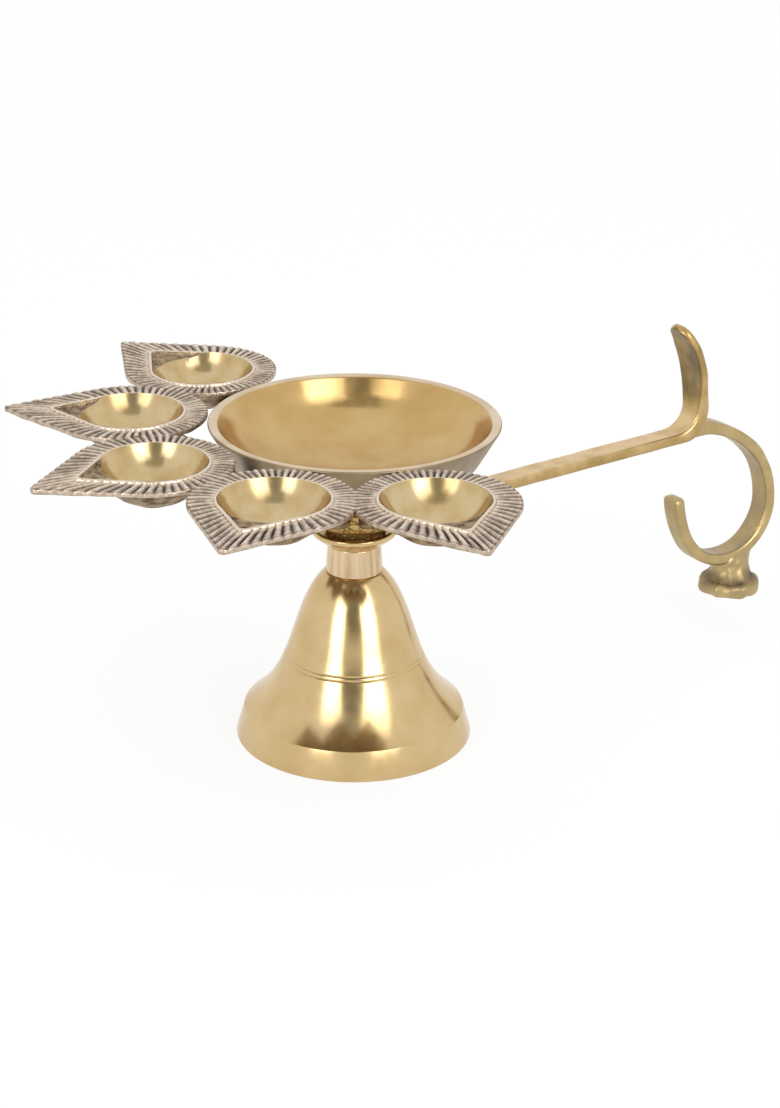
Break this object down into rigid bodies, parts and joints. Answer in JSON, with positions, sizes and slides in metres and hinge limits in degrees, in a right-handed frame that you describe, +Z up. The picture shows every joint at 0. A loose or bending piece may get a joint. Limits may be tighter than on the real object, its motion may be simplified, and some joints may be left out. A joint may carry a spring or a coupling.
{
  "type": "aarti lamp",
  "caption": "Hand-held brass oil lamp: a fan of leaf-shaped wick cups round a bowl on a bell foot, with a flat handle, thumb rest and finger hook.",
  "frame": {"origin": "centre of the bell's foot ring, on the surface the lamp stands on", "axes": "+Z up along the turned base's axis, +X along the handle, away from the cups"},
  "size_m": [0.2231, 0.1696, 0.0916],
  "materials": {
    "polished_brass": "polished, turned",
    "neck_brass": "satin, turned",
    "cast_brass": "cast, antiqued, polished wells",
    "handle_brass": "satin, antiqued",
    "fastener_brass": "as machined"
  },
  "bodies": {
    "base": {"bell_base": "polished_brass", "neck_sleeve": "neck_brass", "seat_ring": "polished_brass", "base_washer": "fastener_brass", "base_nut": "fastener_brass"},
    "head": {"hub": "polished_brass", "cup_arm_1": "cast_brass", "cup_arm_2": "cast_brass", "cup_arm_3": "cast_brass", "cup_arm_4": "cast_brass", "cup_arm_5": "cast_brass", "leaf_cup_1": "cast_brass", "leaf_cup_2": "cast_brass", "leaf_cup_3": "cast_brass", "leaf_cup_4": "cast_brass", "leaf_cup_5": "cast_brass", "handle_arm": "handle_brass", "finger_hook": "handle_brass", "rest_foot": "handle_brass"},
    "washer": {"bowl_washer": "fastener_brass"},
    "bowl": {"center_bowl": "polished_brass", "bowl_stud": "fastener_brass"}
  },
  "joints": [
    {"name": "head_swivel", "type": "hinge", "parent": "base", "child": "head", "pos_m": [0, 0, 0.0547], "axis": [0, 0, 1], "continuous": true},
    {"name": "bowl_rise", "type": "slide", "parent": "base", "child": "washer", "axis": [0, 0, 1], "range_m": [0, 0.008]},
    {"name": "bowl_unscrew", "type": "hinge", "parent": "washer", "child": "bowl", "pos_m": [0, 0, 0.0657], "axis": [0, 0, 1], "range_deg": [0, 2880]}
  ],
  "couplings": [
    {"joint": "bowl_rise", "follows": "bowl_unscrew", "m_per_rad": 0.00015915}
  ]
}
